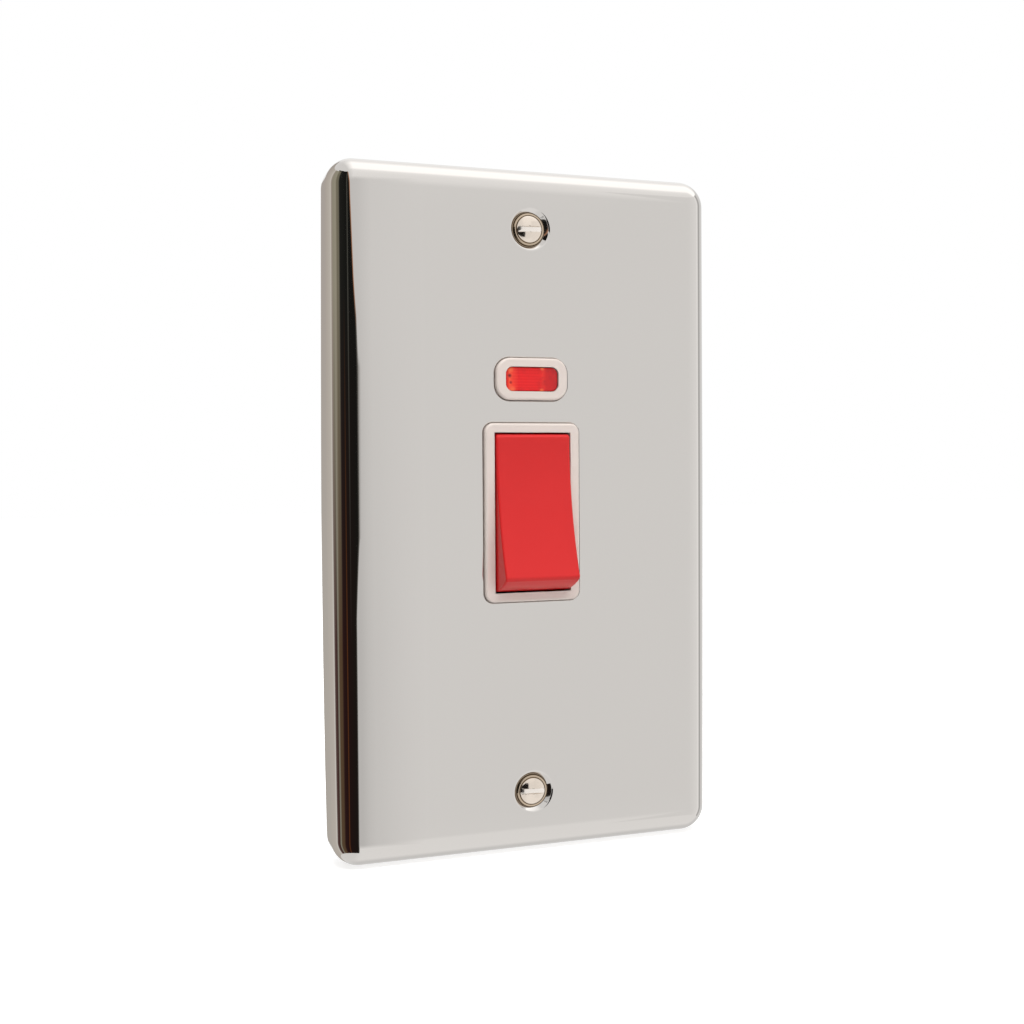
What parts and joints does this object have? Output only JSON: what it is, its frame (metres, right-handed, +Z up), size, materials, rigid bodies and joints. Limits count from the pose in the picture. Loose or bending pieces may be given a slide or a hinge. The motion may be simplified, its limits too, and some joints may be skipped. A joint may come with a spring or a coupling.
{
  "type": "cooker switch",
  "caption": "Tall polished metal wall plate with a red double-pole rocker switch in a white rim, a red neon lens above it and screw terminals behind.",
  "frame": {"origin": "centre of the plate's back rim, in the plane of the wall", "axes": "+Z up, +Y into the wall, +X to the right as seen from the front"},
  "size_m": [0.087, 0.0411, 0.147],
  "materials": {
    "polished_plate": "polished chrome plate",
    "nickel_screws": "bright nickel plate",
    "plated_steel": "zinc plate",
    "white_moulding": "smooth warm white",
    "red_rocker": "smooth red",
    "red_lens": "clear red with prism ribs behind",
    "lamp_glass": "clear",
    "grey_housing": "fine moulded satin",
    "lead_sleeve": "clear sleeve",
    "resistor_coat": "lacquered",
    "brass": "turned and sawn",
    "nylon": "smooth",
    "spring_steel": "drawn wire",
    "copper_alloy": "rolled strip",
    "silver_tips": "bright"
  },
  "bodies": {
    "switch": {"earth_screw": "plated_steel", "earth_terminal": "brass", "faceplate": "polished_plate", "feed_terminal_left": "brass", "feed_terminal_right": "brass", "fixed_tip_left": "silver_tips", "fixed_tip_right": "silver_tips", "fixing_screws": "nickel_screws", "front_moulding": "white_moulding", "housing_screws": "plated_steel", "load_terminal_left": "brass", "load_terminal_right": "brass", "neon_lamp": "lamp_glass", "neon_lead_left": "lead_sleeve", "neon_lead_right": "lead_sleeve", "neon_lens": "red_lens", "neon_resistor": "resistor_coat", "rear_housing": "grey_housing", "resistor_tail": "lead_sleeve", "terminal_screws": "plated_steel", "weld_bushes": "plated_steel"},
    "rocker": {"rocker": "red_rocker", "plunger_spring_left": "spring_steel", "plunger_spring_right": "spring_steel"},
    "plunger_left": {"plunger_left": "nylon"},
    "plunger_right": {"plunger_right": "nylon"},
    "contact_left": {"contact_beam_left": "copper_alloy", "moving_tip_left": "silver_tips"},
    "contact_right": {"contact_beam_right": "copper_alloy", "moving_tip_right": "silver_tips"}
  },
  "joints": [
    {"name": "rocker_turn", "type": "hinge", "parent": "switch", "child": "rocker", "pos_m": [0, -0.007, 0], "axis": [1, 0, 0], "range_deg": [0, 21]},
    {"name": "plunger_left_slide", "type": "slide", "parent": "rocker", "child": "plunger_left", "axis": [0, 0.9833, -0.1822], "range_m": [-0.001, 0.0003], "stiffness_N_per_m": 300, "springref_m": 0.0024, "deforming": ["plunger_spring_left"]},
    {"name": "contact_left_rock", "type": "hinge", "parent": "switch", "child": "contact_left", "pos_m": [-0.0055, 0.0057, 0], "axis": [1, 0, 0], "range_deg": [-16, 0]},
    {"name": "plunger_right_slide", "type": "slide", "parent": "rocker", "child": "plunger_right", "axis": [0, 0.9833, -0.1822], "range_m": [-0.001, 0.0003], "stiffness_N_per_m": 300, "springref_m": 0.0024, "deforming": ["plunger_spring_right"]},
    {"name": "contact_right_rock", "type": "hinge", "parent": "switch", "child": "contact_right", "pos_m": [0.0055, 0.0057, 0], "axis": [1, 0, 0], "range_deg": [-16, 0]}
  ],
  "couplings": [
    {"joint": "contact_left_rock", "follows": "rocker_turn", "ratio": -0.76},
    {"joint": "contact_right_rock", "follows": "rocker_turn", "ratio": -0.76}
  ]
}
